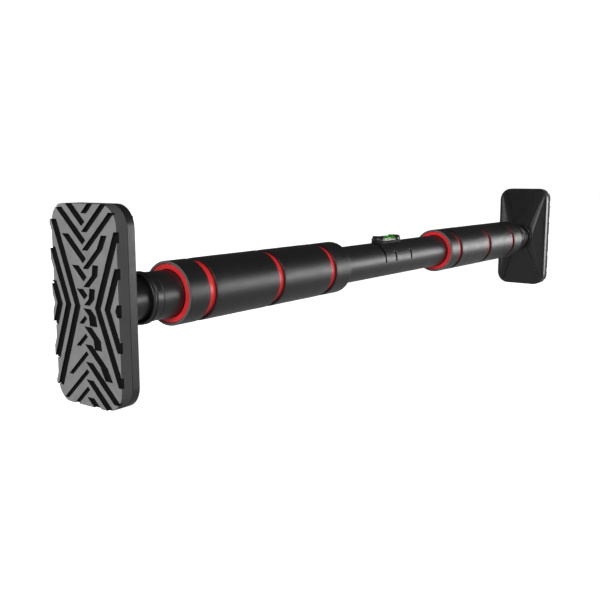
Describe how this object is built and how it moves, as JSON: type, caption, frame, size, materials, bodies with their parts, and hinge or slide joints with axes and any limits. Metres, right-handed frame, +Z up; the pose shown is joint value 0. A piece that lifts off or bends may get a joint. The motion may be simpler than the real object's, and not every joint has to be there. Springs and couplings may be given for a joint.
{
  "type": "expanding tension bar",
  "caption": "Telescoping tension bar with treaded rubber end pads, foam grips that turn to screw the feet out, and a spirit level in the middle.",
  "frame": {"origin": "middle of the bar, on its axis, at the centre of the box round the whole object", "axes": "+X along the bar from the near foot to the far foot, +Z up with the spirit level on top, +Y across"},
  "size_m": [0.718, 0.062, 0.1234],
  "materials": {
    "tread_rubber": "moulded rubber, worn grey on the lands",
    "black_abs": "fine moulded texture, satin",
    "black_steel": "satin black powder coat",
    "grip_foam": "sanded closed-cell foam",
    "red_sleeve": "moulded, semi-gloss",
    "zinc_steel": "bright zinc plate",
    "vial_green": "clear acrylic with green fluid",
    "white_nylon": "natural moulded nylon"
  },
  "bodies": {
    "bar": {"main_tube": "black_steel", "level_saddle": "black_abs", "level_vial": "vial_green", "level_cap_near": "black_abs", "level_cap_far": "black_abs", "level_screw_near": "zinc_steel", "level_screw_far": "zinc_steel", "near_thrust_washer": "white_nylon", "far_thrust_washer": "white_nylon"},
    "near_grip": {"near_end_collar": "black_abs", "near_nut_sleeve": "black_steel", "near_grip_core": "red_sleeve", "near_drive_pin": "zinc_steel", "near_grip_foam_1": "grip_foam", "near_grip_foam_2": "grip_foam", "near_grip_foam_3": "grip_foam", "near_grip_foam_4": "grip_foam"},
    "near_foot": {"near_tread_pad": "tread_rubber", "near_pad_shell": "black_abs", "near_pad_plate": "zinc_steel", "near_plate_screw_1": "zinc_steel", "near_plate_screw_2": "zinc_steel", "near_plate_screw_3": "zinc_steel", "near_plate_screw_4": "zinc_steel", "near_pad_bolt": "zinc_steel", "near_hub_ring": "black_abs", "near_neck_plug": "zinc_steel", "near_neck_tube": "black_steel", "near_guide_pin": "zinc_steel"},
    "far_grip": {"far_end_collar": "black_abs", "far_nut_sleeve": "black_steel", "far_grip_core": "red_sleeve", "far_drive_pin": "zinc_steel", "far_grip_foam_1": "grip_foam", "far_grip_foam_2": "grip_foam", "far_grip_foam_3": "grip_foam", "far_grip_foam_4": "grip_foam"},
    "far_foot": {"far_tread_pad": "tread_rubber", "far_pad_shell": "black_abs", "far_pad_plate": "zinc_steel", "far_plate_screw_1": "zinc_steel", "far_plate_screw_2": "zinc_steel", "far_plate_screw_3": "zinc_steel", "far_plate_screw_4": "zinc_steel", "far_pad_bolt": "zinc_steel", "far_hub_ring": "black_abs", "far_neck_plug": "zinc_steel", "far_neck_tube": "black_steel", "far_guide_pin": "zinc_steel"}
  },
  "joints": [
    {"name": "near_grip_turn", "type": "hinge", "parent": "bar", "child": "near_grip", "pos_m": [-0.2, 0, 0], "axis": [1, 0, 0], "range_deg": [-540, 8460]},
    {"name": "near_foot_screw", "type": "slide", "parent": "bar", "child": "near_foot", "axis": [-1, 0, 0], "range_m": [-0.0075, 0.1175]},
    {"name": "far_grip_turn", "type": "hinge", "parent": "bar", "child": "far_grip", "pos_m": [0.2, 0, 0], "axis": [-1, 0, 0], "range_deg": [-540, 8460]},
    {"name": "far_foot_screw", "type": "slide", "parent": "bar", "child": "far_foot", "axis": [1, 0, 0], "range_m": [-0.0075, 0.1175]}
  ],
  "couplings": [
    {"joint": "near_foot_screw", "follows": "near_grip_turn", "m_per_rad": 0.00079577},
    {"joint": "far_foot_screw", "follows": "far_grip_turn", "m_per_rad": 0.00079577}
  ]
}
